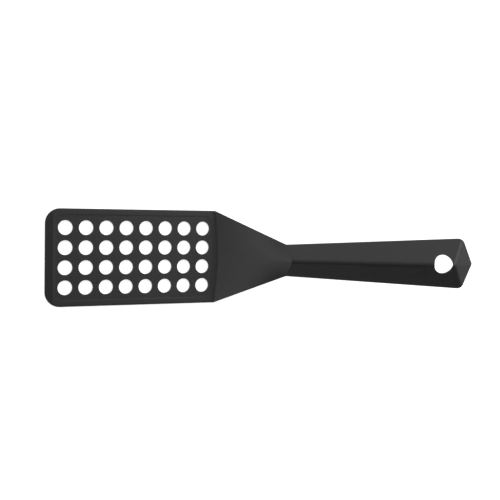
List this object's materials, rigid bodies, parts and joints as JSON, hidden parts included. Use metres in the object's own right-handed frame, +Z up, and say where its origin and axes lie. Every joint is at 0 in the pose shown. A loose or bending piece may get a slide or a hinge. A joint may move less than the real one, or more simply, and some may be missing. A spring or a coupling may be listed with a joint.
{
  "type": "grill spatula",
  "caption": "Long-handled turner with a flat perforated blade, a raised shoulder and a roof-shaped handle with a hang hole.",
  "frame": {"origin": "on the underside of the flat blade, below the middle of the field of holes", "axes": "+X along the tool towards the handle, +Y across it, +Z up with the blade lying flat"},
  "size_m": [0.3115, 0.0736, 0.1066],
  "materials": {
    "head_nylon": "satin rim and shoulder, fine grain on the perforated field",
    "handle_nylon": "satin moulded",
    "badge_nylon": "matt moulded, blank",
    "screw_steel": "black zinc"
  },
  "bodies": {
    "root": {"head": "head_nylon", "handle_cover": "handle_nylon", "handle_back": "handle_nylon", "handle_screws": "screw_steel", "badge": "badge_nylon"}
  },
  "joints": []
}
